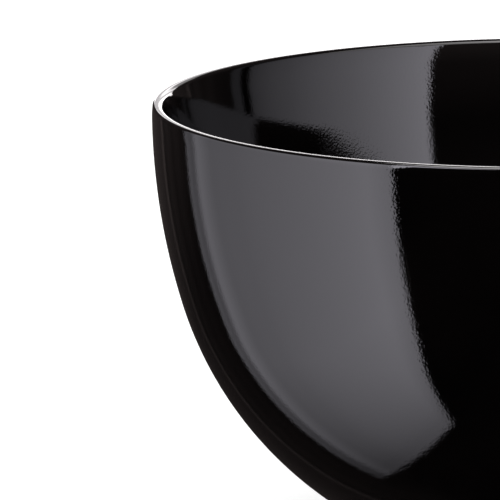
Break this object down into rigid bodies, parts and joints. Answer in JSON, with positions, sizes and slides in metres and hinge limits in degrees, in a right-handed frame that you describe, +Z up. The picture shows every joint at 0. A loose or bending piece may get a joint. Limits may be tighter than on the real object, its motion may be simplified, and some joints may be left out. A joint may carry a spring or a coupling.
{
  "type": "stoneware bowl",
  "caption": "Deep round stoneware bowl with a near-upright thin rim, a full belly and a low foot ring, coated inside and out in glossy black glaze, for serving food.",
  "frame": {"origin": "on the bowl's axis, in the plane that the foot ring stands on", "axes": "+Z is up along the axis the bowl is turned about; the bowl is round, so X and Y are any two level directions"},
  "size_m": [0.25, 0.25, 0.142],
  "materials": {
    "bare_stoneware": "unglazed fired stoneware, fine-grained and matt, ground smooth on the foot ring",
    "black_glaze": "glossy black glaze with a faint orange-peel surface"
  },
  "bodies": {
    "root": {"stoneware_body": "bare_stoneware", "inside_glaze": "black_glaze", "outside_glaze": "black_glaze", "foot_well_glaze": "black_glaze"}
  },
  "joints": []
}
